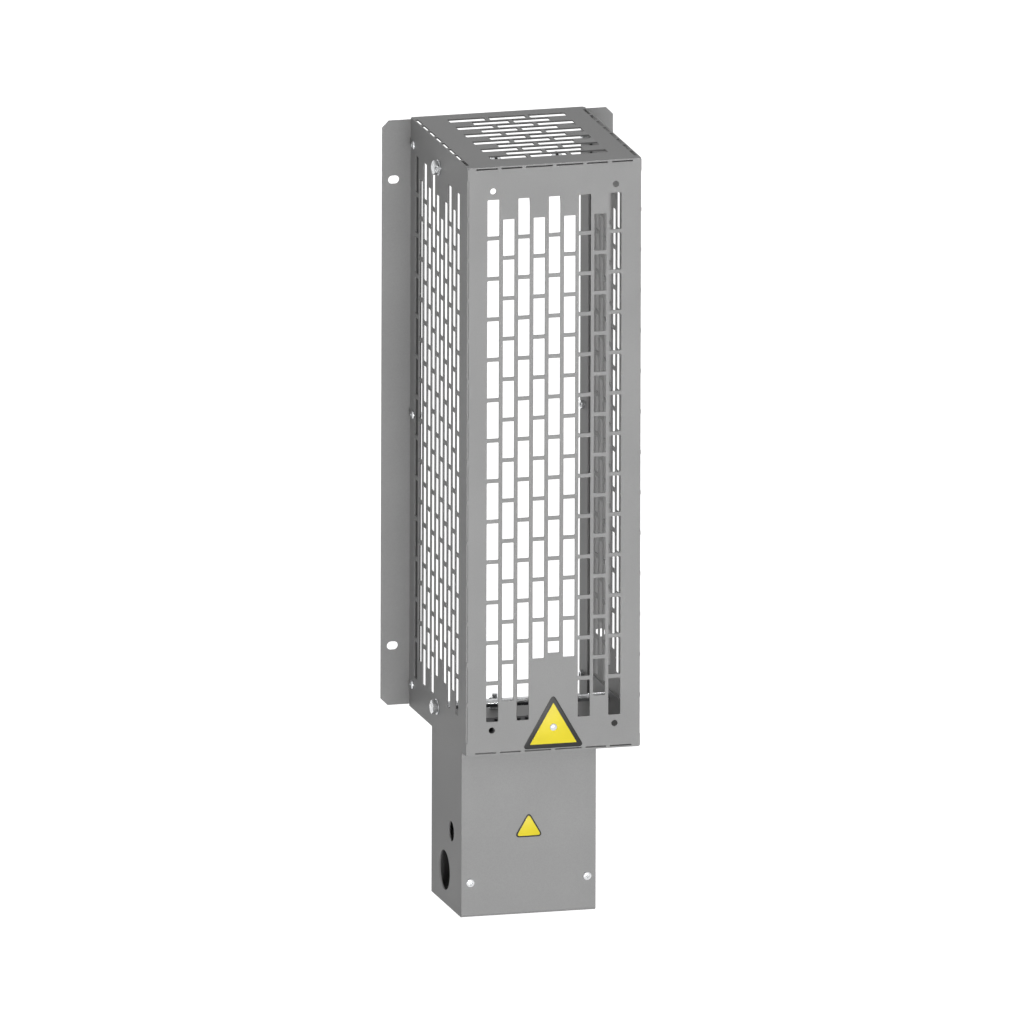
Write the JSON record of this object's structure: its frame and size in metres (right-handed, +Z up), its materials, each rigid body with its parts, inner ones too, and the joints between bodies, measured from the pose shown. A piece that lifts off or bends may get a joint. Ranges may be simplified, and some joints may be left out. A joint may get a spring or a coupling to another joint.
{
  "type": "braking resistor",
  "caption": "Wall-mounted braking resistor: hairpin rods in a perforated steel cage with side wall flanges, and a sheet terminal box below with two cable holes and a pull-off cover",
  "frame": {"origin": "middle of the four wall mounting slots, on the wall plane", "axes": "+Z up along the cage, +Y into the wall, +X to the right seen from the front"},
  "size_m": [0.239, 0.2237, 0.776],
  "materials": {
    "coated_steel": "satin grey coated sheet steel",
    "dark_steel": "dark heat-resistant coating",
    "rod_sheath": "bright drawn stainless sheath",
    "zinc": "bright zinc plating",
    "black_seal": "matt black silicone foam",
    "ceramic": "glazed steatite ceramic",
    "copper": "tinned copper strip",
    "black_plastic": "black phenolic moulding",
    "grey_plastic": "grey polyamide",
    "earth_plastic": "green polyamide",
    "lead_sleeve": "glass-fibre braided sleeve",
    "plate_rim": "dark grey enamel",
    "plate_field": "yellow enamel"
  },
  "bodies": {
    "cage": {"front_panel": "coated_steel", "left_side_panel": "coated_steel", "right_side_panel": "coated_steel", "roof_panel": "coated_steel", "floor_tray": "coated_steel", "left_wall_rail": "coated_steel", "right_wall_rail": "coated_steel", "left_seal_strip": "black_seal", "right_seal_strip": "black_seal", "rail_screws": "zinc", "rail_nuts": "zinc", "upper_tie_rod": "zinc", "lower_tie_rod": "zinc", "tie_rod_washers": "zinc", "tie_rod_nuts": "zinc", "hanger_nuts": "zinc", "hanger_plates": "dark_steel", "support_rod": "zinc", "support_rod_nuts": "zinc", "ceramic_spools": "ceramic", "resistor_rod_1": "rod_sheath", "resistor_rod_2": "rod_sheath", "resistor_rod_3": "rod_sheath", "resistor_rod_4": "rod_sheath", "element_flange": "dark_steel", "flange_screws": "zinc", "flange_nuts": "zinc", "rod_bushings": "dark_steel", "bushing_nuts": "zinc", "ceramic_beads": "ceramic", "terminal_pins": "zinc", "series_links": "copper", "pin_nuts": "zinc", "thermal_switch": "black_plastic", "floor_stud": "zinc", "floor_stud_nuts": "zinc", "terminal_box": "coated_steel", "box_screws": "zinc", "cover_nuts": "zinc", "terminal_rail": "zinc", "power_terminal_1": "grey_plastic", "power_terminal_2": "grey_plastic", "earth_terminal": "earth_plastic", "switch_terminals": "grey_plastic", "end_stops": "grey_plastic", "terminal_screws": "zinc", "power_lead_1": "lead_sleeve", "power_lead_2": "lead_sleeve", "switch_leads": "lead_sleeve", "large_triangle_plate": "plate_rim", "large_triangle_field": "plate_field", "plate_rivet": "zinc"},
    "cover": {"terminal_cover": "coated_steel", "cover_screws": "zinc", "small_triangle_plate": "plate_rim", "small_triangle_field": "plate_field"}
  },
  "joints": [
    {"name": "cover_slide", "type": "slide", "parent": "cage", "child": "cover", "axis": [0, -1, 0], "range_m": [0, 0.12]}
  ]
}
